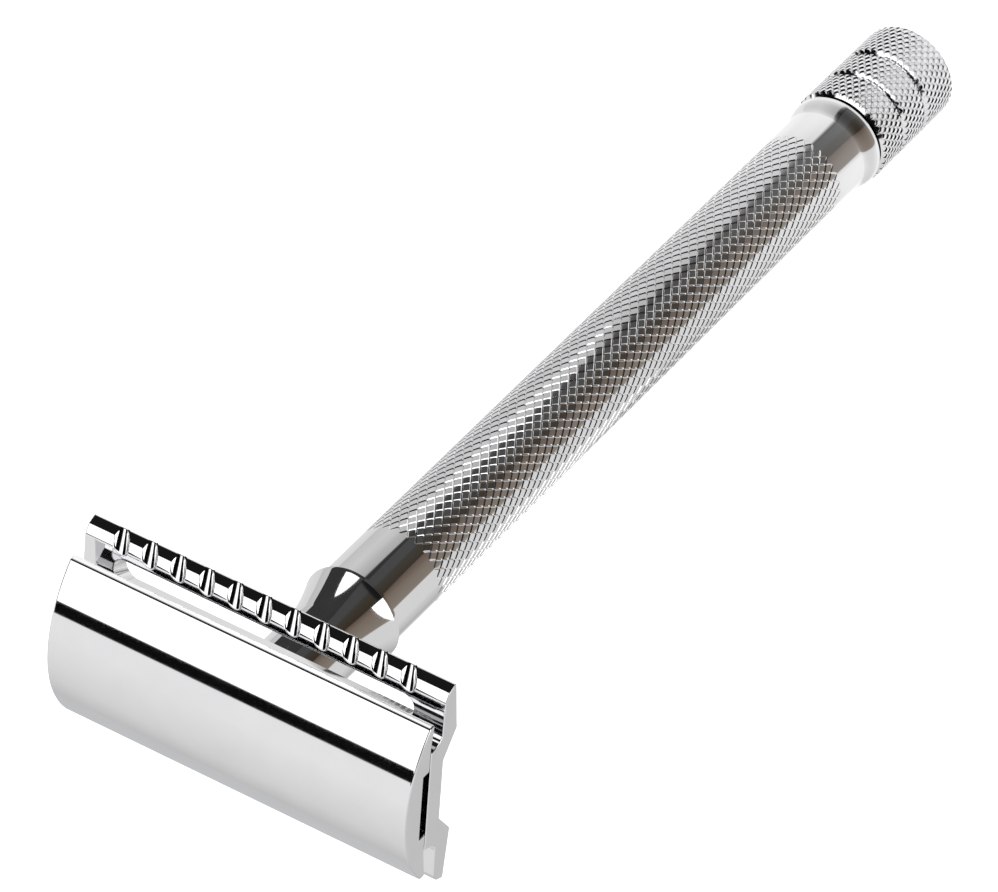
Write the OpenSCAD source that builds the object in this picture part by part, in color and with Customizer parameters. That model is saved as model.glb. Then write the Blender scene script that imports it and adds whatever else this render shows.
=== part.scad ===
// Double-edge safety razor with a closed comb, a long knurled handle and a twist knob.
// Stands on the flat end of its knob: origin at the centre of that face, +Z up the handle
// to the cap, X along the blade, Y across the head.  All sizes in millimetres.

/* [Head] */
// Length of cap and base plate along the blade
head_l = 42; // [36:0.5:52]
// Width of the cap from one long edge to the other
cap_w = 19.8; // [17:0.1:20.2]
// Radius of the cap's crown, seen from the end
cap_crown_r = 15.4; // [13:0.1:30]
// Height of the crown above the cap's clamping faces
cap_h = 3.98; // [3.5:0.01:5]
// How far the cap's long edges reach below its clamping faces
cap_edge_drop = 0.42; // [0.2:0.01:0.6]
// Width of the hollow along the middle of the cap's underside
cap_hollow_w = 8.2; // [7:0.1:10]
// Depth of that hollow
cap_hollow_d = 1.05; // [0.6:0.05:1.4]
// Room for the blade between cap and base plate
blade_gap = 0.1; // [0.05:0.01:0.3]
// Diameter of the two locating posts under the cap
post_d = 3; // [2.2:0.1:4]
// Distance between the two locating posts
post_spacing = 22; // [19:0.5:28]

/* [Base plate] */
// Width over both safety bars
plate_w = 25.6; // [24.4:0.1:32]
// Thickness of the middle of the plate
plate_t = 2.35; // [2:0.05:3.5]
// Width of the raised bed that the blade is clamped on
bed_w = 12.8; // [10:0.1:14]
// Width of the flat strip along the underside
belly_w = 7.6; // [6:0.1:9]
// Depth of the two ribs below the underside
rib_drop = 2.15; // [1.8:0.05:3]
// Height of the safety bar's top and of the channel floor above the underside
bar_top = 0.45; // [0.2:0.05:0.8]
// Width of each drain slot
slot_w = 2.75; // [2:0.05:3]
// Width of each safety bar, from its tip to the drain slot
bar_w = 2.55; // [2.3:0.05:4]
// Solid length at each end of a drain slot
slot_end = 3.5; // [2.5:0.1:6]

/* [Comb grooves] */
// Distance from one groove to the next
groove_pitch = 3.34; // [2.6:0.02:4.5]
// Radius of the grooves' round bottom
groove_r = 1.15; // [0.8:0.05:1.3]
// Angle of the groove floor from upright
groove_tilt = 48; // [40:1:55]
// Sideways slant of the grooves
groove_slant = 15.6; // [0:0.2:20]

/* [Handle] */
// Height of the base plate's underside above the knob's end face
plate_z = 125.8; // [90:0.1:155]
// Outside diameter of the handle tube
handle_d = 9.94; // [9.4:0.01:13]
// Bore of the handle tube
tube_bore = 7.6; // [7.4:0.05:8.2]
// Diameter of the slim part of the neck
neck_d = 8.6; // [8:0.1:9.2]
// How far the sharp rim at the foot of the neck stands out from the tube
rim_step = 0.57; // [0.2:0.01:2]
// Distance from the base plate's underside down to that rim
neck_l = 16.3; // [14:0.1:22]
// Length of the neck's flare, above the rim
flare_l = 5; // [3:0.1:8]
// Length of the neck's shank inside the tube
shank_l = 10; // [6:0.5:16]
// How far the lip at the tube's lower end stands out from the tube
lip_step = 0.53; // [0.2:0.01:2]
// Length of the tube's flare, above the lip
lip_flare_l = 2.3; // [1.5:0.1:5]

/* [Knob] */
// Length of the knob
knob_l = 14.75; // [12:0.05:22]
// How far the knob's knurled bands stand out from the lip
knob_step = 0.175; // [0:0.005:1]
// Width of the grooves between the bands
knob_groove_w = 0.95; // [0.6:0.05:1.4]
// Length of the lowest band; the other bands share the rest
end_band_l = 5.3; // [4:0.1:7]
// Number of grooves between the bands
knob_grooves = 2; // [1:1:3]
// Gap between the knob and the handle tube
knob_gap = 0.25; // [0.15:0.05:0.6]

/* [Clamping screw] */
// Diameter of the stud under the cap
stud_d = 5; // [4:0.1:5.2]
// Depth of the stud below the base plate's underside
stud_reach = 8; // [6:0.5:12]
// Outside diameter of the threaded socket
socket_d = 6.5; // [6.3:0.05:7]
// Diameter of the drive rod
rod_d = 4; // [3:0.1:4.4]
// Depth of the rod's seat in the knob, above the end face
rod_seat_z = 3; // [2:0.5:6]
// Diameter of the cross pin through socket and rod
pin_d = 1.2; // [0.8:0.1:1.6]
// Length of the guide bush
bush_l = 6; // [4:0.5:10]
// Thickness of the thrust washer
thrust_t = 0.7; // [0.4:0.05:1.2]
// Thickness of the wave washer
wave_t = 0.3; // [0.2:0.05:0.5]
// Thickness of the retaining ring
ring_t = 0.6; // [0.4:0.05:1]

/* [Hidden] */
$fn = 96;

// Clearances
run_fit = 0.05;        // radial, between turning and sliding pieces
axial_play = 0.05;     // end play of washers
loose_fit = 0.25;      // radial, around posts and stud in the base plate
over = 1;              // how far a cut runs past a face

// Heights of the head
bed_z = plate_z + plate_t;
cap_seat_z = bed_z + blade_gap;
crown_z = cap_seat_z + cap_h;
cap_ceiling_z = cap_seat_z + cap_hollow_d;

// Base plate outline
rib_edge_y = bed_w / 2 + 0.2;
tip_y = plate_w / 2;
tip_drop = 1.3;        // bar tip below the underside
tip_land = 0.2;        // small flat under the tip
bar_knee = [0.55, 1.28];   // from the tip to the edge between the bar's two faces
bar_crest = [1.3, 0.4];    // depth of the upper face from the tip, and width of its rounding
slot_y = tip_y - bar_w - slot_w / 2;
bed_fillet_r = 2.5;

// Comb grooves start at the tip and are centred on the plate at their inner ends
groove_run = (tip_drop + bar_top) / cos(groove_tilt);
groove_shift = groove_run * tan(groove_slant);
end_land = 3.4;
groove_side_n = floor((head_l / 2 - end_land) / groove_pitch);

// Handle
rim_z = plate_z - neck_l;
rim_d = handle_d + 2 * rim_step;
lip_d = handle_d + 2 * lip_step;
knob_d = lip_d + 2 * knob_step;
tube_z = knob_l + knob_gap;
rim_land = 0.2;
lip_land = 0.3;
lip_chamfer = 0.4;
spigot_d = neck_d - 0.8;
spigot_h = plate_t - 0.45;
socket_bore_d = socket_d + 2 * run_fit;

// Clamping screw
socket_top_z = plate_z - 0.8;
thread_room = 1;                       // free depth below the stud
thread_floor_z = plate_z - stud_reach - thread_room;
rod_engage = 6.8;                      // length of rod inside the socket
socket_floor_web = 4;                  // solid web between rod seat and thread
rod_top_z = thread_floor_z - socket_floor_web;
socket_foot_z = rod_top_z - rod_engage;
stud_root = 1.4;                       // stud length cast into the cap
thread_bore_d = stud_d + 2 * run_fit;
pin_z = socket_foot_z + rod_engage / 2;
bush_top_z = tube_z + bush_l;
wave_z = bush_top_z + 0.3;
ring_z = wave_z + wave_t + 0.65;
ring_id = rod_d - 1;
washer_od = tube_bore - 0.4;
thrust_z = tube_z - axial_play - thrust_t;

// Knob
knob_groove_d = knob_groove_w / 2;
end_chamfer = 0.25;
top_chamfer = [0.42, 0.35];            // depth and height of the cone at the knob's top
band_l = (knob_l - top_chamfer[1] - end_band_l - knob_grooves * knob_groove_w) / knob_grooves;

chrome = [0.83, 0.84, 0.86];
steel = [0.62, 0.63, 0.65];
brass = [0.80, 0.64, 0.32];

// Lays a profile drawn as [y, z] along the head
module along_head(length) {
    rotate([90, 0, 90])
        linear_extrude(length, center = true) children();
}

// Ring or tube standing at height z
module ring(od, id, h, z) {
    translate([0, 0, z])
        difference() {
            cylinder(d = od, h = h);
            translate([0, 0, -over]) cylinder(d = id, h = h + 2 * over);
        }
}

// Half of the base plate's end outline, heights from the underside
module plate_half_profile() {
    difference() {
        polygon([
            [0, 0],
            [belly_w / 2, 0],
            [rib_edge_y, -rib_drop],
            [tip_y - tip_land, -tip_drop - tip_land],
            [tip_y, -tip_drop],
            [tip_y - bar_knee[0], -tip_drop + bar_knee[1]],
            [tip_y - bar_crest[0] + bar_crest[1], bar_top - 0.15],
            [tip_y - bar_crest[0], bar_top],
            [bed_w / 2 + bed_fillet_r, bar_top],
            [bed_w / 2 + bed_fillet_r, plate_t],
            [0, plate_t]
        ]);
        // hollow flank from the bed down to the channel floor
        intersection() {
            translate([bed_w / 2 + bed_fillet_r, plate_t]) circle(r = bed_fillet_r);
            translate([bed_w / 2, bar_top]) square([bed_fillet_r + over, plate_t]);
        }
    }
}

// Drain slot with round ends, cut down through the plate
module drain_slot() {
    reach = head_l / 2 - slot_end - slot_w / 2;
    translate([0, slot_y, -rib_drop - over])
        linear_extrude(rib_drop + bar_top + 2 * over) {
            square([2 * reach, slot_w], center = true);
            translate([reach, 0]) circle(d = slot_w);
            translate([-reach, 0]) circle(d = slot_w);
        }
}

// One row of round-bottomed grooves across a safety bar
module comb_grooves() {
    for (i = [-groove_side_n:groove_side_n])
        translate([i * groove_pitch - groove_shift, tip_y - tip_land / 4, -tip_drop])
            rotate([groove_tilt, 0, 0])
                rotate([0, groove_slant, 0])
                    translate([0, groove_r, -over]) cylinder(r = groove_r, h = groove_run + 2 * over, $fn = 48);
}

module base_plate() {
    color(chrome)
        translate([0, 0, plate_z])
            difference() {
                along_head(head_l) {
                    plate_half_profile();
                    mirror([1, 0]) plate_half_profile();
                }
                for (turn = [0, 180])
                    rotate([0, 0, turn]) {
                        drain_slot();
                        comb_grooves();
                    }
                // seat and hole for the neck
                translate([0, 0, -rib_drop - over]) cylinder(d = neck_d, h = rib_drop + over);
                translate([0, 0, -over]) cylinder(d = spigot_d, h = plate_t + 2 * over);
                // holes for the cap's posts
                for (side = [-1, 1])
                    translate([side * post_spacing / 2, 0, -over])
                        cylinder(d = post_d + 2 * loose_fit, h = plate_t + 2 * over);
            }
}

// Slim neck that flares to a sharp rim, with a shank below and a spigot above
module neck_sleeve() {
    flare_steps = 12;
    flare_z = rim_z + rim_land;
    color(chrome)
        difference() {
            rotate_extrude()
                polygon(concat(
                    [[0, rim_z - shank_l], [tube_bore / 2, rim_z - shank_l], [tube_bore / 2, rim_z],
                     [rim_d / 2, rim_z]],
                    [for (i = [0:flare_steps])
                        let (t = i / flare_steps)
                        [neck_d / 2 + (rim_d - neck_d) / 2 * pow(1 - t, 1.5), flare_z + flare_l * t]],
                    [[neck_d / 2, plate_z], [spigot_d / 2, plate_z],
                     [spigot_d / 2, plate_z + spigot_h], [0, plate_z + spigot_h]]
                ));
            translate([0, 0, rim_z - shank_l - over])
                cylinder(d = socket_bore_d, h = socket_top_z + 0.1 - rim_z + shank_l + over);
            cylinder(d = stud_d + 2 * loose_fit, h = plate_z + spigot_h + over);
        }
}

// Tube with a smooth collar that flares to a lip at its lower end
module handle_tube() {
    flare_steps = 12;
    lip_top_z = tube_z + lip_chamfer + lip_land;
    color(chrome)
        rotate_extrude()
            polygon(concat(
                [[tube_bore / 2, tube_z], [lip_d / 2 - lip_chamfer, tube_z],
                 [lip_d / 2, tube_z + lip_chamfer]],
                [for (i = [0:flare_steps])
                    let (t = i / flare_steps)
                    [handle_d / 2 + (lip_d - handle_d) / 2 * (1 + cos(180 * t)) / 2, lip_top_z + lip_flare_l * t]],
                [[handle_d / 2, rim_z], [tube_bore / 2, rim_z]]
            ));
}

// Plain bush pressed into the tube's lower end
module guide_bush() {
    color(brass) ring(tube_bore, rod_d + 2 * run_fit, bush_l, tube_z);
}

// Washer that carries the pull of the screw from the knob to the bush
module thrust_washer() {
    color(brass) ring(washer_od, rod_d + 2 * run_fit, thrust_t, thrust_z);
}

// Sprung washer above the bush
module wave_washer() {
    color(steel) ring(washer_od - 0.2, rod_d + 2 * run_fit, wave_t, wave_z);
}

// Open ring clipped into the rod's groove
module retaining_ring() {
    color(steel)
        difference() {
            ring(washer_od - 0.8, ring_id, ring_t, ring_z);
            translate([0, -ring_id / 2 * 0.8, ring_z - over]) cube([tube_bore, ring_id * 0.8, ring_t + 2 * over]);
        }
}

// Cross pin's bore or body, along X
module cross_pin(d, length) {
    translate([-length / 2, 0, pin_z])
        rotate([0, 90, 0]) cylinder(d = d, h = length, $fn = 32);
}

module drive_rod() {
    color(steel)
        difference() {
            translate([0, 0, rod_seat_z]) cylinder(d = rod_d, h = rod_top_z - rod_seat_z);
            ring(rod_d + over, ring_id, ring_t, ring_z);
            cross_pin(pin_d, rod_d + 2 * over);
        }
}

// Socket that turns with the rod and draws the cap's stud down
module threaded_socket() {
    color(brass)
        difference() {
            translate([0, 0, socket_foot_z]) cylinder(d = socket_d, h = socket_top_z - socket_foot_z);
            translate([0, 0, thread_floor_z]) cylinder(d = thread_bore_d, h = socket_top_z - thread_floor_z + over);
            translate([0, 0, socket_foot_z - over]) cylinder(d = rod_d, h = rod_engage + over);
            cross_pin(pin_d, socket_d + 2 * over);
        }
}

module socket_pin() {
    color(steel) cross_pin(pin_d, socket_d - 0.2);
}

// Knob with bands set off by V-grooves, bored for the rod
module end_knob() {
    knob_r = knob_d / 2;
    color(chrome)
        difference() {
            rotate_extrude()
                polygon(concat(
                    [[0, 0], [knob_r - end_chamfer, 0], [knob_r, end_chamfer]],
                    [for (i = [0:knob_grooves - 1])
                        let (z = end_band_l + i * (band_l + knob_groove_w))
                        each [[knob_r, z], [knob_r - knob_groove_d, z + knob_groove_w / 2],
                              [knob_r, z + knob_groove_w]]],
                    [[knob_r, knob_l - top_chamfer[1]], [knob_r - top_chamfer[0], knob_l], [0, knob_l]]
                ));
            translate([0, 0, rod_seat_z]) cylinder(d = rod_d, h = knob_l);
            translate([0, 0, thrust_z - axial_play]) cylinder(d = washer_od + 0.2, h = knob_l);
        }
}

// Underside of the cap: hollow along the middle, faces falling to the long edges
module cap_underside_cut() {
    land_y = bed_w / 2 + 0.3;
    translate([-cap_hollow_w / 2, -over]) square([cap_hollow_w, over + cap_hollow_d]);
    polygon([[-land_y, 0], [land_y, 0], [cap_w / 2, -cap_edge_drop], [cap_w / 2, -over],
             [-cap_w / 2, -over], [-cap_w / 2, -cap_edge_drop]]);
}

module cap() {
    color(chrome)
        difference() {
            union() {
                translate([0, 0, cap_seat_z])
                    along_head(head_l)
                        difference() {
                            intersection() {
                                translate([0, cap_h - cap_crown_r]) circle(r = cap_crown_r, $fn = 180);
                                translate([-cap_w / 2, -cap_edge_drop]) square([cap_w, cap_h + cap_edge_drop + over]);
                            }
                            cap_underside_cut();
                        }
                for (side = [-1, 1])
                    translate([side * post_spacing / 2, 0, plate_z + 0.3])
                        cylinder(d = post_d, h = cap_ceiling_z + 0.5 - plate_z - 0.3);
            }
            translate([0, 0, cap_seat_z - over]) cylinder(d = stud_d, h = cap_hollow_d + stud_root + over);
        }
}

// Stud cast into the cap
module cap_stud() {
    foot_z = plate_z - stud_reach;
    color(steel)
        translate([0, 0, foot_z]) cylinder(d = stud_d, h = cap_ceiling_z + stud_root - foot_z);
}

base_plate();
neck_sleeve();
handle_tube();
guide_bush();
thrust_washer();
wave_washer();
retaining_ring();
drive_rod();
threaded_socket();
socket_pin();
end_knob();
cap();
cap_stud();
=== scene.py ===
import math
from math import cos, pi, radians, sin, tan, tau

import bpy
from mathutils import Matrix, Vector


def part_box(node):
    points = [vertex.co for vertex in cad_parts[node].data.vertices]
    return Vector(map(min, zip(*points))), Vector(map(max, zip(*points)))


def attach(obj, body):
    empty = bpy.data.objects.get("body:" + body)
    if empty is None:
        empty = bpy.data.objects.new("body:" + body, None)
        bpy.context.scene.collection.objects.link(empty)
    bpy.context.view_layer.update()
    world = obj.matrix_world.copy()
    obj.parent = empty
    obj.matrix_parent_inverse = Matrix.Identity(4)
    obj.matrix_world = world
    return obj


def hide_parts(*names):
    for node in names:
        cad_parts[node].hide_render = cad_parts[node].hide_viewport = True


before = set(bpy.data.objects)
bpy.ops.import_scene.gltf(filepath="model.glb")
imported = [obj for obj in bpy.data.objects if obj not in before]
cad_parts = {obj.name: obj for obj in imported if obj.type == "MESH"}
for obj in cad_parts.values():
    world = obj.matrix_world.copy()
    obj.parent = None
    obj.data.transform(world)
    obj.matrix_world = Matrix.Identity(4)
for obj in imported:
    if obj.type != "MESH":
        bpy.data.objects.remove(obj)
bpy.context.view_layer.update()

MM = 0.001


# ---------------------------------------------------------------------------
# Camera: a long lens looking down on the razor from beside its head, rolled so that the handle
# runs from the head, low on the left, up to the knob.
camera_azimuth = radians(59.673)
camera_elevation = radians(41.582)
camera_roll = radians(-134.205)
camera_distance = 0.795
camera_target = Vector((-0.0010, 0.0018, 0.0811))

camera_data = bpy.data.cameras.new("camera")
camera_data.lens = 283.28
camera_data.sensor_width = 36
camera_data.clip_start = 0.05
camera = bpy.data.objects.new("camera", camera_data)
bpy.context.collection.objects.link(camera)
camera.matrix_world = (Matrix.Translation(camera_target)
                       @ Matrix.Rotation(camera_azimuth + radians(90), 4, "Z")
                       @ Matrix.Rotation(radians(90) - camera_elevation, 4, "X")
                       @ Matrix.Rotation(camera_roll, 4, "Z")
                       @ Matrix.Translation((0, 0, camera_distance)))
bpy.context.scene.camera = camera


# ---------------------------------------------------------------------------
# Studio: a white table lit from below inside a soft pale tent.  The tent has a large white panel
# over the comb's side, a narrow black flag overhead and brown and black drapes round the front.
class Wire:
    """An output socket in a node tree.  Arithmetic on wires adds Math nodes."""

    def __init__(self, tree, socket=None):
        self.tree = tree
        self.socket = socket

    def node(self, kind, settings=None, values=None, output=0):
        """Adds any node: its settings first, then the values or wires of its sockets."""
        made = self.tree.nodes.new(kind)
        for name, value in (settings or {}).items():
            if name == "stops":
                ramp = made.color_ramp.elements
                while len(ramp) < len(value):
                    ramp.new(0.5)
                for stop, (place, colour) in zip(ramp, value):
                    stop.position = place
                    stop.color = (*colour, 1)
            else:
                setattr(made, name, value)
        for name, value in (values or {}).items():
            if isinstance(value, Wire):
                self.tree.links.new(value.socket, made.inputs[name])
            else:
                made.inputs[name].default_value = value
        return Wire(self.tree, made.outputs[output])

    def math(self, operation, *values):
        return self.node("ShaderNodeMath", {"operation": operation}, dict(enumerate(values)))

    def __add__(self, other):
        return self.math("ADD", self, other)

    def __radd__(self, other):
        return self.math("ADD", other, self)

    def __sub__(self, other):
        return self.math("SUBTRACT", self, other)

    def __rsub__(self, other):
        return self.math("SUBTRACT", other, self)

    def __mul__(self, other):
        return self.math("MULTIPLY", self, other)

    def __rmul__(self, other):
        return self.math("MULTIPLY", other, self)

    def step(self, low, high):
        """0 below low, 1 above high, and a straight ramp between."""
        return self.node("ShaderNodeMapRange", {"clamp": True}, {"Value": self, 1: low, 2: high})

    def mix(self, first, second):
        """The first colour where this wire is 0, the second where it is 1."""
        first, second = [colour if isinstance(colour, Wire) else (*colour, 1) for colour in (first, second)]
        return self.node("ShaderNodeMix", {"data_type": "RGBA"}, {0: self, 6: first, 7: second}, 2)


scene = bpy.context.scene
scene.view_settings.view_transform = "Standard"

world = bpy.data.worlds.new("tent")
world.use_nodes = True
scene.world = world
tent = Wire(world.node_tree)
toward = tent.node("ShaderNodeTexCoord", output="Generated")
x, y, z = [tent.node("ShaderNodeSeparateXYZ", None, {0: toward}, axis) for axis in "XYZ"]
full_turn = 360
azimuth = y.math("ARCTAN2", y, x) * math.degrees(1)
elevation = z.math("ARCSINE", z) * math.degrees(1)
overhead = y.math("ARCTAN2", y, z) * math.degrees(1)


def wall_of(angle, tones):
    """A ring of tones, given as (degrees, tone or colour), each ramping on to the next."""
    stops = [((place + 180) / full_turn, tone if isinstance(tone, tuple) else (tone,) * 3)
             for place, tone in tones]
    return tent.node("ShaderNodeValToRGB", {"stops": stops}, {0: (angle + 180) * (1 / full_turn)})


black = 0.022
brown = (0.185, 0.148, 0.118)
low_wall = wall_of(azimuth, [
    (-180, 0.70), (-140, 0.76), (-112, 1.05), (-100, 1.0), (-90, 0.56), (-78, 0.44), (-55, 0.60),
    (-40, 0.68), (-3, 0.68), (-1, (0.24, 0.21, 0.18)), (30, brown), (41, (0.12, 0.09, 0.07)),
    (43, (0.04, 0.03, 0.02)), (64, (0.05, 0.043, 0.035)), (70, 0.062), (89, 0.062), (91, black),
    (99, black), (102, 0.40), (140, 0.62), (178, 0.54), (180, 0.66)])
high_wall = wall_of(overhead, [
    (-180, 0.5), (-90, 0.54), (-70, 0.67), (-45, 0.76), (-28, 0.82), (-6, 0.83), (-4, 1.4), (43, 1.4),
    (44.5, 0.005), (96, 0.01), (104, 0.5), (180, 0.5)])

# the white panel ends a little way along the blade's direction to each side, and a narrow black
# flag runs along its lower edge
near_end = x.step(-0.95, -0.92) * (1 - x.step(-0.58, -0.54))
far_end = x.step(0.30, 0.34) * (1 - x.step(0.88, 0.91))
panel_end = (near_end + far_end) * overhead.step(0.5, 1.5) * (1 - overhead.step(60, 65))
flag = overhead.step(-9.9, -9.3) * (1 - overhead.step(-0.1, 0.5))
flag_black = (0.003, 0.003, 0.003)

# a grey patch high on one side of the low wall
shoulder = azimuth.step(-134, -128) * (1 - azimuth.step(-99, -94)) * elevation.step(-36, -33)
shoulder_grey = (0.54, 0.55, 0.56)
tent_tone = elevation.step(-3, -2).mix(shoulder.mix(low_wall, shoulder_grey),
                                       (panel_end + flag).mix(high_wall, flag_black))
world.node_tree.links.new(tent_tone.socket, world.node_tree.nodes["Background"].inputs["Color"])

bpy.ops.object.select_all(action="DESELECT")
bpy.ops.mesh.primitive_plane_add(size=6)
table = bpy.context.object
table.name = "table"
table.visible_glossy = False
table_white = bpy.data.materials.new("table_white")
table_white.use_nodes = True
table_shader = table_white.node_tree.nodes["Principled BSDF"]
table_shader.inputs["Base Color"].default_value = (0.9, 0.9, 0.9, 1)
table_shader.inputs["Roughness"].default_value = 0.9
table_shader.inputs["Specular IOR Level"].default_value = 0
table_shader.inputs["Emission Color"].default_value = (1, 1, 1, 1)
table_shader.inputs["Emission Strength"].default_value = 0.8
table.data.materials.append(table_white)

# the table's white glow, which the chrome shows only close to it
glow_reach = 0.15
bpy.ops.mesh.primitive_circle_add(vertices=64, radius=glow_reach, fill_type="NGON",
                                  location=(0, 0, -0.0002))
glow_disc = bpy.context.object
glow_disc.name = "table_glow"
glow_disc.visible_camera = glow_disc.visible_diffuse = glow_disc.visible_shadow = False
glow_white = bpy.data.materials.new("table_glow")
glow_white.use_nodes = True
glow_tree = glow_white.node_tree
glow_tree.nodes.remove(glow_tree.nodes["Principled BSDF"])
glow = Wire(glow_tree)
spot = glow.node("ShaderNodeTexCoord", output="Object")
distance = glow.node("ShaderNodeVectorMath", {"operation": "LENGTH"}, {0: spot}, "Value")
spot_x, spot_y = [glow.node("ShaderNodeSeparateXYZ", None, {0: spot}, axis) for axis in "XY"]
spot_azimuth = spot_y.math("ARCTAN2", spot_y, spot_x) * math.degrees(1)
drape_side = spot_azimuth.step(-6, 2) * (1 - spot_azimuth.step(90, 100)) * distance.step(0.0225, 0.0242)
share = glow.node("ShaderNodeValToRGB", {"stops": [
    (0.0, (0.85,) * 3), (0.16, (0.8,) * 3), (0.2, (0.45,) * 3), (0.4, (0.13,) * 3), (1.0, (0,) * 3)]},
    {0: distance * (1 / glow_reach)}) * (1 - 0.85 * drape_side)
glow_mix = glow.node("ShaderNodeMixShader", None, {
    0: share, 1: glow.node("ShaderNodeBsdfTransparent"),
    2: glow.node("ShaderNodeEmission", None, {"Color": (1, 1, 1, 1)})})
glow_tree.links.new(glow_mix.socket, glow_tree.nodes["Material Output"].inputs["Surface"])
glow_disc.data.materials.append(glow_white)


def card(name, azimuth, reach, low, high, half, tone, foot=1):
    """An upright card round the razor that only the chrome shows.  It stands at an azimuth and a
    reach from the handle, between two heights, and foot narrows its lower edge."""
    bpy.ops.object.select_all(action="DESELECT")
    bpy.ops.mesh.primitive_plane_add(size=1)
    made = bpy.context.object
    made.name = name
    facing = Matrix.Rotation(radians(azimuth - 90), 4, "Z")
    for corner in made.data.vertices:
        wide = half * (foot if corner.co.y < 0 else 1)
        corner.co = facing @ Vector((wide if corner.co.x > 0 else -wide, reach,
                                     low if corner.co.y < 0 else high))
    made.visible_camera = made.visible_diffuse = made.visible_shadow = False
    surface = bpy.data.materials.new(name)
    surface.use_nodes = True
    shade = surface.node_tree.nodes["Principled BSDF"]
    shade.inputs["Base Color"].default_value = (0, 0, 0, 1)
    shade.inputs["Specular IOR Level"].default_value = 0
    shade.inputs["Emission Color"].default_value = (tone, tone, tone, 1)
    shade.inputs["Emission Strength"].default_value = 1
    made.data.materials.append(surface)
    return made


# the white panel's lower corner, a dark card behind it, and a lamp in front
card("panel_corner", 112, 0.0235, 0.1068, 0.118, 0.034, 1.3, foot=0.01)
card("dark_card", 120, 0.025, 0.0925, 0.1105, 0.0155, 0.035)
card("front_lamp", 18, 0.25, 0.081, 0.200, 0.110, 1.8)

# a white sheet laid on the table behind the razor, as deep as it is far away
sheet_z = 0.001
far_sheet = card("far_sheet", 120, 0.144, sheet_z, 2 * sheet_z, 0.06, 1.05)
for corner in far_sheet.data.vertices:
    if corner.co.z > 1.5 * sheet_z:
        corner.co = (2 * corner.co.x, 2 * corner.co.y, sheet_z)


# ---------------------------------------------------------------------------
# Base plate: one zinc die-casting with a closed comb along each side, polished and chrome plated.
# It seats on the neck's spigot, and the cap's posts and stud pass down through it.
def deselect():
    bpy.ops.object.select_all(action="DESELECT")


def hold(*pieces):
    """Selects these objects only, with the first one active."""
    deselect()
    for piece in pieces:
        piece.select_set(True)
    bpy.context.view_layer.objects.active = pieces[0]


def draw(points):
    """Starts a mesh as a single vertex and draws a line on through the points."""
    deselect()
    bpy.ops.mesh.primitive_plane_add(size=1, location=points[0])
    bpy.ops.object.transform_apply()
    bpy.ops.object.mode_set(mode="EDIT")
    bpy.ops.mesh.select_mode(type="VERT")
    bpy.ops.mesh.merge(type="CENTER")
    for here, there in zip(points, points[1:]):
        step = Vector(there) - Vector(here)
        bpy.ops.mesh.extrude_vertices_move(TRANSFORM_OT_translate={"value": step})


def casting(outline, length):
    """Fills an end outline of (y, z) points and draws it out along the head."""
    ring = [(-length / 2, y, z) for y, z in outline]
    draw(ring)
    bpy.ops.mesh.select_all(action="SELECT")
    bpy.ops.mesh.edge_face_add()
    bpy.ops.mesh.extrude_region_move(TRANSFORM_OT_translate={"value": (length, 0, 0)})
    bpy.ops.mesh.select_all(action="SELECT")
    bpy.ops.mesh.normals_make_consistent(inside=False)
    bpy.ops.object.mode_set(mode="OBJECT")
    return bpy.context.object


def modify(piece, kind, **settings):
    """Gives a piece a modifier and applies it."""
    hold(piece)
    modifier = piece.modifiers.new(kind.lower(), kind)
    for name, value in settings.items():
        setattr(modifier, name, value)
    bpy.ops.object.modifier_apply(modifier=modifier.name)


def trim(piece, tools, operation="DIFFERENCE"):
    """Joins the tools into one and cuts the piece with it, or merges it in."""
    hold(*tools)
    if len(tools) > 1:
        bpy.ops.object.join()
    tool = bpy.context.object
    modify(piece, "BOOLEAN", object=tool, operation=operation, solver="EXACT", use_self=len(tools) > 1)
    bpy.data.objects.remove(tool)


def pin(radius, low, high, x=0, y=0, vertices=64):
    """An upright round tool."""
    deselect()
    bpy.ops.mesh.primitive_cylinder_add(vertices=vertices, radius=radius, depth=high - low,
                                        location=(x, y, (low + high) / 2))
    bpy.ops.object.transform_apply()
    return bpy.context.object


def finished(piece, name, body, node, smooth=30, weighted=False):
    """Shades a piece, brings it from millimetres to metres, and puts it in a CAD node's place."""
    hold(piece)
    bpy.ops.object.shade_smooth_by_angle(angle=radians(smooth))
    if weighted:
        modify(piece, "WEIGHTED_NORMAL", keep_sharp=True)
    piece.scale = (MM, MM, MM)
    bpy.ops.object.transform_apply()
    piece.name = name
    piece.data.name = name
    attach(piece, body)
    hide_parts(node)


def box_mm(node):
    low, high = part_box(node)
    return low / MM, high / MM


plate_low, plate_high = box_mm("base_plate")
head_l = plate_high.x - plate_low.x
rib_drop = 2.15
underside = plate_low.z + rib_drop
bed = plate_high.z - underside
bevel_proud = 0.03
tip_y = plate_high.y - bevel_proud
tip_drop = 1.3
bar_top = 0.34
bed_y = 6.4
flank_r = 2.5
neck_r = 4.3
spigot_r = 3.9
post_x = 11
post_hole_r = 1.75

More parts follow.
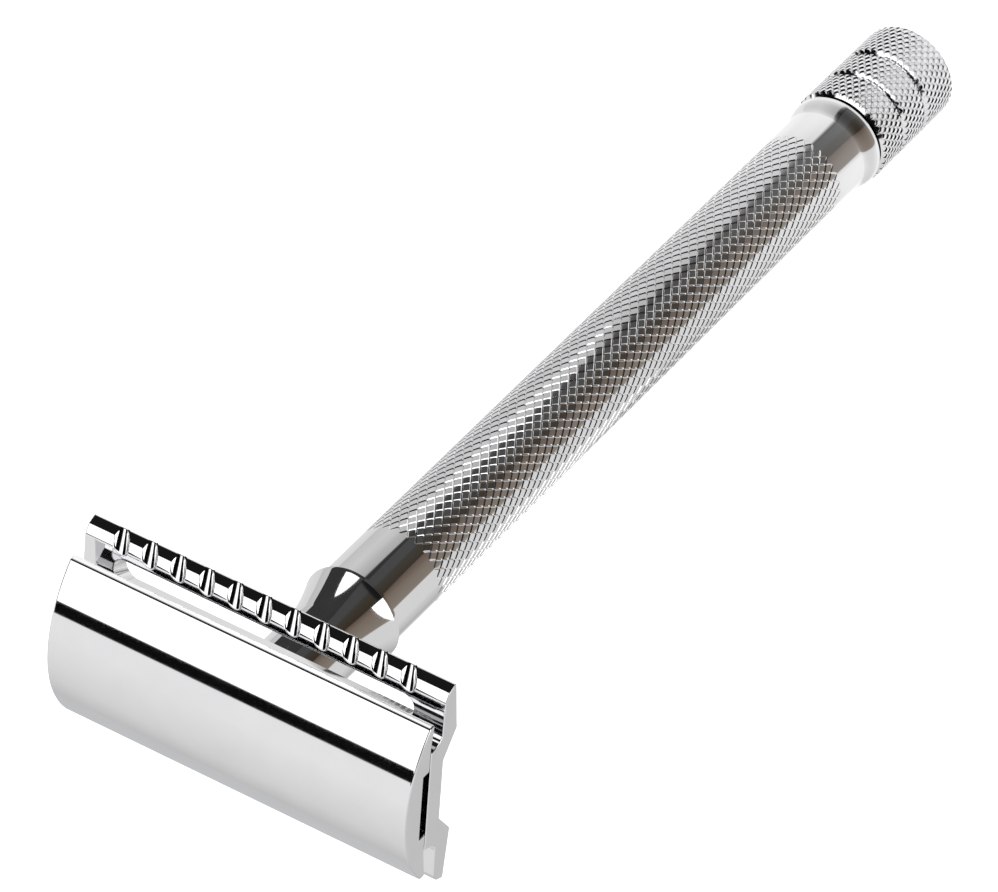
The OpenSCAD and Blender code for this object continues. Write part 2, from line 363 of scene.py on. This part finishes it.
# half of the end outline, from under the middle, out round the rib and the bar with its knee, and
# up the hollow flank to the bed
seat_half = 3.8
plate_half = [(0, 0), (seat_half, 0), (bed_y + 0.2, -rib_drop), (tip_y - 0.2, -tip_drop - 0.2),
              (tip_y, -tip_drop), (tip_y - 0.41, -0.36), (tip_y - 0.50, -0.24), (tip_y - 1.20, 0.22),
              (tip_y - 1.50, bar_top)]
flank_sweep = radians(49.5)
flank_steps = 12
for step in range(flank_steps + 1):
    angle = flank_sweep * (1 - step / flank_steps)
    plate_half.append((bed_y + flank_r - flank_r * cos(angle), bed - flank_r * sin(angle)))
plate_half.append((0, bed))
plate = casting([(y, underside + z) for y, z in plate_half]
                + [(-y, underside + z) for y, z in reversed(plate_half[1:-1])], head_l)

# neck seat, spigot hole and the holes for the cap's posts
trim(plate, [pin(neck_r, underside - 4, underside), pin(spigot_r, underside - 0.5, underside + 4)])
trim(plate, [pin(post_hole_r, underside - 4, underside + 4, x, vertices=48) for x in (-post_x, post_x)])

# drain slots with round ends
slot_w = 2.75
slot_end = 3.5
bar_w = 2.55
slot_y = tip_y - bar_w - slot_w / 2
slot_slant = 0.48
slot_reach = 4


def pick(kind, test):
    """In edit mode, selects the vertices, edges or faces whose corners pass a test."""
    bpy.ops.mesh.select_all(action="DESELECT")
    bpy.ops.mesh.select_mode(type=kind)
    bpy.ops.object.mode_set(mode="OBJECT")
    mesh = bpy.context.object.data
    for item in {"VERT": mesh.vertices, "EDGE": mesh.edges, "FACE": mesh.polygons}[kind]:
        corners = [item.co] if kind == "VERT" else [mesh.vertices[i].co for i in item.vertices]
        item.select = test(item, corners)
    bpy.ops.object.mode_set(mode="EDIT")


def drain_slot(side):
    deselect()
    bpy.ops.mesh.primitive_cube_add(size=1, location=(0, side * slot_y, underside),
                                    scale=(head_l - 2 * slot_end, slot_w, 2 * slot_reach))
    bpy.ops.object.transform_apply()
    bpy.ops.object.mode_set(mode="EDIT")
    pick("EDGE", lambda edge, ends: abs(ends[0].z - ends[1].z) > slot_reach)
    bpy.ops.mesh.bevel(offset=slot_w / 2 - 0.01, segments=12)
    # the slot leans inwards as it goes down
    for upper in (-1, 1):
        pick("VERT", lambda corner, ends: (ends[0].z - underside) * upper > 0)
        bpy.ops.transform.translate(value=(0, side * slot_slant * (slot_reach * upper - bar_top), 0))
    bpy.ops.object.mode_set(mode="OBJECT")
    return bpy.context.object


trim(plate, [drain_slot(side) for side in (-1, 1)])

# round-bottomed comb grooves, slanting up and inwards from the tip of each bar and widening
groove_r = 0.72
groove_spread = radians(8)
groove_pitch = 3.34
groove_tilt = radians(48)
groove_slant = radians(15.6)
groove_bite = 0.1
groove_run = (tip_drop + bar_top) / cos(groove_tilt)
groove_shift = groove_run * tan(groove_slant)
groove_side_n = 5
groove_spare = 0.8


def groove(number, side):
    deselect()
    bpy.ops.mesh.primitive_cone_add(
        vertices=48, radius1=groove_r - groove_spare * tan(groove_spread),
        radius2=groove_r + (groove_run + groove_spare) * tan(groove_spread),
        depth=groove_run + 2 * groove_spare, location=(0, groove_r, groove_run / 2))
    bpy.ops.object.transform_apply()
    made = bpy.context.object
    made.matrix_world = (Matrix.Rotation(0 if side > 0 else pi, 4, "Z")
                         @ Matrix.Translation((number * groove_pitch - groove_shift, tip_y - groove_bite,
                                               underside - tip_drop))
                         @ Matrix.Rotation(groove_tilt - groove_spread, 4, "X")
                         @ Matrix.Rotation(groove_slant, 4, "Y"))
    bpy.ops.object.transform_apply()
    return made


for side in (-1, 1):
    trim(plate, [groove(number, side) for number in range(-groove_side_n, groove_side_n + 1)])

hold(plate)
bpy.ops.object.mode_set(mode="EDIT")
bpy.ops.mesh.select_all(action="SELECT")
bpy.ops.mesh.remove_doubles(threshold=0.004)
bpy.ops.mesh.dissolve_limited(angle_limit=radians(0.5))
bpy.ops.object.mode_set(mode="OBJECT")
modify(plate, "BEVEL", width=0.12, segments=3, limit_method="ANGLE", angle_limit=radians(18),
       use_clamp_overlap=False, miter_outer="MITER_ARC")
finished(plate, "base_plate_casting", "handle", "base_plate", smooth=40, weighted=True)


def chrome(name, tint=(0.93, 0.93, 0.94), roughness=0.035):
    """Bright chrome plate with a very faint ripple and haze from polishing."""
    material = bpy.data.materials.new(name)
    material.use_nodes = True
    start = Wire(material.node_tree)
    shader = material.node_tree.nodes["Principled BSDF"]
    shader.inputs["Metallic"].default_value = 1
    place = start.node("ShaderNodeMapping", None,
                       {"Vector": start.node("ShaderNodeTexCoord", output="Object")})
    haze = start.node("ShaderNodeTexNoise", None, {"Vector": place, "Scale": 220, "Detail": 3})
    ripple = start.node("ShaderNodeTexNoise", None, {"Vector": place, "Scale": 90, "Detail": 1})
    material.node_tree.links.new((haze * 0.03 + roughness).socket, shader.inputs["Roughness"])
    colour = start.node("ShaderNodeMix", {"data_type": "RGBA"},
                        {0: haze.step(0.35, 0.7), 6: (*tint, 1),
                         7: (*[0.97 * part for part in tint], 1)}, 2)
    material.node_tree.links.new(colour.socket, shader.inputs["Base Color"])
    bump = start.node("ShaderNodeBump", None, {"Strength": 0.03, "Distance": 0.0001, "Height": ripple})
    material.node_tree.links.new(bump.socket, shader.inputs["Normal"])
    return material


plate.data.materials.append(chrome("head_chrome"))


# ---------------------------------------------------------------------------
# Cap: a die-cast and plated cover, arched across its width, with two locating posts cast on its
# hollow underside.  Its long edges press the blade down on the base plate.
cap_low, cap_high = box_mm("cap")
crown_r = 15.4
crown_centre = cap_high.z - crown_r
cap_half = cap_high.y
cap_height = 3.98
cap_seat = cap_high.z - cap_height
edge_drop = 0.42
land_half = 6.7
hollow_half = 4.1
hollow_depth = 1.05
hollow_top = cap_seat + hollow_depth
post_r = 1.5

# the crown runs into each long edge through a small rounding
edge_r = 0.4
edge_y = cap_half - edge_r
edge_start = math.asin(edge_y / (crown_r - edge_r))
edge_z = crown_centre + (crown_r - edge_r) * cos(edge_start)
crown_steps = 40
cap_side = []
for step in range(crown_steps + 1):
    angle = edge_start * step / crown_steps
    cap_side.append((crown_r * sin(angle), crown_centre + crown_r * cos(angle)))
edge_steps = 6
for step in range(1, edge_steps + 1):
    angle = edge_start + (pi / 2 - edge_start) * step / edge_steps
    cap_side.append((edge_y + edge_r * sin(angle), edge_z + edge_r * cos(angle)))
cap_side += [(cap_half, cap_seat - edge_drop), (land_half, cap_seat), (hollow_half, cap_seat),
             (hollow_half, hollow_top), (0, hollow_top)]
cap = casting(cap_side + [(-y, z) for y, z in reversed(cap_side[1:-1])], head_l)

posts = [pin(post_r, cap_low.z, hollow_top + 0.5, x, vertices=48) for x in (-post_x, post_x)]
for post in posts:
    modify(post, "BEVEL", width=0.35, segments=3, limit_method="ANGLE", angle_limit=radians(60))
trim(cap, posts, "UNION")
modify(cap, "BEVEL", width=0.21, segments=4, limit_method="ANGLE", angle_limit=radians(25),
       use_clamp_overlap=False)
finished(cap, "cap_casting", "cap", "cap", smooth=40, weighted=True)
cap.data.materials.append(chrome("cap_chrome"))


# ---------------------------------------------------------------------------
# Cap stud: a turned steel screw, M5 with a pitch of 0.8, whose plain end is cast into the cap.
# It hangs from the cap and screws into the socket in the neck.
def turned(outline, steps=120):
    """Draws a closed outline of (radius, height) points beside the axis and spins it round."""
    draw([(r, 0, z) for r, z in outline + outline[:1]])
    bpy.ops.mesh.select_all(action="SELECT")
    bpy.ops.mesh.spin(steps=steps, angle=tau, center=(0, 0, 0), axis=(0, 0, 1))
    bpy.ops.mesh.select_all(action="SELECT")
    bpy.ops.mesh.remove_doubles(threshold=0.002)
    bpy.ops.mesh.normals_make_consistent(inside=False)
    bpy.ops.object.mode_set(mode="OBJECT")
    return bpy.context.object


def threaded(crest, root, pitch, low, high):
    """A solid helical thread between two heights, one turn of its outline repeated upwards."""
    start = low - 2 * pitch
    draw([(root, 0, start), (root, 0, start + 0.1 * pitch), (crest, 0, start + 0.46 * pitch),
          (crest, 0, start + 0.6 * pitch), (root, 0, start + 0.96 * pitch), (root, 0, start + pitch)])
    bpy.ops.object.mode_set(mode="OBJECT")
    thread = bpy.context.object
    turns = math.ceil((high - low) / pitch) + 4
    modify(thread, "SCREW", angle=tau, screw_offset=pitch, iterations=turns, steps=32, render_steps=32,
           use_merge_vertices=True, merge_threshold=0.001)
    bpy.ops.object.mode_set(mode="EDIT")
    bpy.ops.mesh.select_all(action="SELECT")
    bpy.ops.mesh.remove_doubles(threshold=0.001)
    bpy.ops.mesh.bisect(plane_co=(0, 0, high), plane_no=(0, 0, 1), use_fill=True, clear_outer=True)
    bpy.ops.mesh.select_all(action="SELECT")
    bpy.ops.mesh.bisect(plane_co=(0, 0, low), plane_no=(0, 0, -1), use_fill=True, clear_outer=True)
    bpy.ops.mesh.select_all(action="SELECT")
    bpy.ops.mesh.normals_make_consistent(inside=False)
    bpy.ops.object.mode_set(mode="OBJECT")
    return thread


stud_low, stud_high = box_mm("cap_stud")
stud_r = stud_high.x
thread_pitch = 0.8
thread_depth = 0.49
stud = threaded(stud_r, stud_r - thread_depth, thread_pitch, stud_low.z, stud_high.z)
blank = pin(stud_r, stud_low.z, stud_high.z, vertices=64)
modify(blank, "BEVEL", width=0.5, segments=1, limit_method="ANGLE", angle_limit=radians(60))
trim(stud, [blank], "INTERSECT")
finished(stud, "stud_thread", "cap", "cap_stud", smooth=25)
stud.data.materials.append(chrome("stud_steel", (0.62, 0.63, 0.65), 0.22))


# ---------------------------------------------------------------------------
# Neck: turned from brass bar and plated, flared like a trumpet to a sharp rim where it meets the
# handle tube.  Its shank is pressed into the tube, and its spigot into the base plate.
neck_low, neck_high = box_mm("neck_sleeve")
rim_r = neck_high.x
shank_r = 3.8
socket_bore_r = 3.3
stud_bore_r = 2.75
rim_z = neck_low.z + 10
rim_edge = 0.05
flare_z = rim_z + 0.2
flare_l = 5
flare_power = 1.5
flare_steps = 24
neck_chamfer = 0.3
socket_room_z = underside - 0.7
neck_outline = [(socket_bore_r, neck_low.z), (shank_r - neck_chamfer, neck_low.z),
                (shank_r, neck_low.z + 0.4), (shank_r, rim_z), (rim_r - rim_edge, rim_z),
                (rim_r, rim_z + rim_edge)]
for step in range(flare_steps + 1):
    rise = step / flare_steps
    neck_outline.append((neck_r + (rim_r - neck_r) * (1 - rise) ** flare_power,
                         flare_z + flare_l * rise))
neck_outline += [(neck_r, underside), (spigot_r, underside), (spigot_r, neck_high.z - neck_chamfer),
                 (spigot_r - neck_chamfer, neck_high.z), (stud_bore_r, neck_high.z),
                 (stud_bore_r, socket_room_z), (socket_bore_r, socket_room_z)]
neck = turned(neck_outline, 160)
finished(neck, "neck_turning", "handle", "neck_sleeve", smooth=24)
neck.data.materials.append(chrome("neck_chrome"))


# ---------------------------------------------------------------------------
# Handle tube: drawn brass tube, turned to a lip at its lower end, with a rolled diamond knurl
# between a smooth collar at each end, then polished and plated.
def knurled(radii, insets, low, high, columns, rows, cuts=0):
    """An open round wall of raised diamonds.  The radii go from the valleys up to the tops, the
    insets lie between them, and cuts divide the tops so that they follow the round."""
    deselect()
    bpy.ops.mesh.primitive_cylinder_add(vertices=columns, radius=radii[-1], depth=high - low,
                                        end_fill_type="NOTHING", location=(0, 0, (low + high) / 2))
    bpy.ops.object.transform_apply()
    wall = bpy.context.object
    bpy.ops.object.mode_set(mode="EDIT")
    pick("EDGE", lambda edge, ends: abs(ends[0].z - ends[1].z) > 1)
    bpy.ops.mesh.subdivide(number_cuts=rows - 1)
    bpy.ops.mesh.select_all(action="SELECT")
    bpy.ops.mesh.poke()
    # the squares' own edges go, which leaves a diamond across each of them
    pick("EDGE", lambda edge, ends: low + 0.01 < (ends[0].z + ends[1].z) / 2 < high - 0.01
         and (abs(ends[0].z - ends[1].z) < 0.01 or (ends[0] - ends[1]).xy.length < 0.01))
    bpy.ops.mesh.dissolve_edges(use_verts=False)
    bpy.ops.mesh.select_mode(type="FACE")
    bpy.ops.mesh.select_all(action="SELECT")
    wall.vertex_groups.new(name="0")
    bpy.ops.object.vertex_group_assign()
    for level, inset in enumerate(insets, 1):
        bpy.ops.mesh.inset(thickness=inset, use_individual=True)
        if level == len(insets) and cuts:
            bpy.ops.mesh.subdivide(number_cuts=cuts)
        bpy.ops.object.vertex_group_remove_from(use_all_groups=True)
        wall.vertex_groups.new(name=str(level))
        wall.vertex_groups.active_index = level
        bpy.ops.object.vertex_group_assign()
    return wall


def round_off(wall, radii):
    """Brings each level of a knurled wall to its radius."""
    bpy.ops.object.mode_set(mode="OBJECT")
    for level, radius in enumerate(radii):
        modify(wall, "CAST", cast_type="CYLINDER", factor=1, size=radius, use_radius_as_size=False,
               vertex_group=str(level))
    wall.vertex_groups.clear()


tube_low, tube_high = box_mm("handle_tube")
tube_r = 4.97
tube_bore_r = 3.8
lip_r = tube_high.x
knurl_low = tube_low.z + 7.8
knurl_high = tube_high.z - 7.95
knurl_columns = 30
knurl_rows = 47
knurl_depth = 0.13
knurl_flank = 0.11
seam_cuts = 3

grip = knurled([tube_r - knurl_depth, tube_r], [knurl_flank], knurl_low, knurl_high, knurl_columns,
               knurl_rows, cuts=1)
# the grooves run out at both ends, where the wall goes on into the smooth collars
pick("EDGE", lambda edge, ends: all(abs(end.z - knurl_low) < 0.01 or abs(end.z - knurl_high) < 0.01
                                    for end in ends) and abs(ends[0].z - ends[1].z) < 0.01)
bpy.ops.mesh.subdivide(number_cuts=seam_cuts)
bpy.ops.object.vertex_group_remove_from(use_all_groups=True)
grip.vertex_groups.active_index = 1
bpy.ops.object.vertex_group_assign()
round_off(grip, [tube_r - knurl_depth, tube_r])

lip_land = tube_low.z + 0.7
lip_flare_l = 2.3
lip_steps = 16
collars = [(tube_r, knurl_low)]
for step in range(lip_steps + 1):
    drop = step / lip_steps
    collars.append((tube_r + (lip_r - tube_r) * (1 - cos(pi * drop)) / 2,
                    lip_land + lip_flare_l * (1 - drop)))
collars += [(lip_r, tube_low.z + 0.43), (lip_r - 0.03, tube_low.z + 0.37), (lip_r - 0.38, tube_low.z),
            (tube_bore_r + 0.1, tube_low.z), (tube_bore_r, tube_low.z + 0.1), (tube_bore_r, tube_high.z),
            (tube_r - 0.04, tube_high.z), (tube_r, tube_high.z - 0.04), (tube_r, knurl_high)]
draw([(r, 0, z) for r, z in collars])
bpy.ops.mesh.select_all(action="SELECT")
bpy.ops.mesh.spin(steps=knurl_columns * (seam_cuts + 1), angle=tau, center=(0, 0, 0), axis=(0, 0, 1))
bpy.ops.object.mode_set(mode="OBJECT")
hold(bpy.context.object, grip)
bpy.ops.object.join()
tube = bpy.context.object
bpy.ops.object.mode_set(mode="EDIT")
bpy.ops.mesh.select_all(action="SELECT")
bpy.ops.mesh.remove_doubles(threshold=0.006)
bpy.ops.mesh.normals_make_consistent(inside=False)
bpy.ops.object.mode_set(mode="OBJECT")
finished(tube, "tube_knurled", "handle", "handle_tube", smooth=26)
tube.data.materials.append(chrome("handle_chrome"))


# ---------------------------------------------------------------------------
# End knob: turned brass with three bands of finer diamond knurl, set off by V-grooves, and plated.
# It is bored for the drive rod, which is pressed in, and recessed for the thrust washer.
knob_low, knob_high = box_mm("end_knob")
knob_r = knob_high.x
rod_r = 2
rod_seat_z = knob_low.z + 3
recess_r = 3.7
recess_z = knob_high.z - 0.55
end_chamfer = 0.25
end_band_l = 5.3
v_groove_w = 0.95
v_depth = 0.45
v_root = 0.27
top_cone = 0.35
top_land_r = knob_r - 0.42
band_l = (knob_high.z - knob_low.z - top_cone - end_band_l - 2 * v_groove_w) / 2
spare = 0.05

knob_outline = [(0, rod_seat_z), (0, knob_low.z), (knob_r - end_chamfer, knob_low.z),
                (knob_r + spare, knob_low.z + end_chamfer + spare)]
for number in range(2):
    foot = knob_low.z + end_band_l + number * (band_l + v_groove_w)
    knob_outline += [(knob_r + spare, foot - spare * v_root / v_depth), (knob_r - v_depth, foot + v_root),
                     (knob_r + spare, foot + v_groove_w + spare)]
knob_outline += [(knob_r + spare, knob_high.z - top_cone - spare), (top_land_r, knob_high.z),
                 (recess_r, knob_high.z), (recess_r, recess_z), (rod_r, recess_z), (rod_r, rod_seat_z)]
knob = turned(knob_outline, 164)

bead_columns = 41
bead_rows = 12
bead_pitch = 1.333
bead_radii = [knob_r - 0.27, knob_r - 0.08, knob_r]
bead_flanks = [0.09, 0.1]
bead_start = knob_low.z - 0.6
beads = knurled(bead_radii, bead_flanks, bead_start, bead_start + bead_rows * bead_pitch,
                bead_columns, bead_rows)
round_off(beads, bead_radii)
bpy.ops.object.mode_set(mode="EDIT")
bpy.ops.mesh.select_all(action="SELECT")
bpy.ops.mesh.fill_holes(sides=0)
bpy.ops.mesh.select_all(action="SELECT")
bpy.ops.mesh.normals_make_consistent(inside=False)
bpy.ops.object.mode_set(mode="OBJECT")
trim(knob, [beads], "INTERSECT")
finished(knob, "knob_knurled", "knob", "end_knob", smooth=38)
knob.data.materials.append(chrome("knob_chrome", roughness=0.06))


# ---------------------------------------------------------------------------
# Works inside the handle: a brass guide bush and thrust washer, a spring-steel wave washer and
# retaining ring, and a bright steel drive rod with its cross pin and the brass socket it turns.
def machined(name, tint, roughness, wear=0.12):
    """A turned part: fine rings of tool marks up its length, with stains and rubbed spots."""
    material = bpy.data.materials.new(name)
    material.use_nodes = True
    start = Wire(material.node_tree)
    shader = material.node_tree.nodes["Principled BSDF"]
    shader.inputs["Metallic"].default_value = 1
    spot = start.node("ShaderNodeTexCoord", output="Object")
    rings = start.node("ShaderNodeTexNoise", None, {
        "Vector": start.node("ShaderNodeMapping", None, {"Vector": spot, "Scale": (60, 60, 9000)}),
        "Scale": 1, "Detail": 2})
    stains = start.node("ShaderNodeTexNoise", None, {
        "Vector": start.node("ShaderNodeMapping", None, {"Vector": spot}), "Scale": 700, "Detail": 4})
    rough = rings.step(0.3, 0.7) * 0.08 + stains.step(0.35, 0.75) * wear + roughness
    colour = stains.step(0.4, 0.8).mix(tint, [0.72 * part for part in tint])
    bump = start.node("ShaderNodeBump", None, {"Strength": 0.25, "Distance": 0.00002, "Height": rings})
    for wire, socket in ((rough, "Roughness"), (colour, "Base Color"), (bump, "Normal")):
        material.node_tree.links.new(wire.socket, shader.inputs[socket])
    return material


turned_brass = machined("turned_brass", (0.78, 0.60, 0.28), 0.2)
bright_steel = machined("bright_steel", (0.62, 0.63, 0.65), 0.2)
blued_steel = machined("blued_steel", (0.30, 0.33, 0.42), 0.28)
inner_works = {"guide_bush": turned_brass, "thrust_washer": turned_brass, "threaded_socket": turned_brass,
               "drive_rod": bright_steel, "socket_pin": bright_steel,
               "wave_washer": blued_steel, "retaining_ring": blued_steel}
for node, metal in inner_works.items():
    for material_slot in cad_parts[node].material_slots:
        material_slot.material = metal
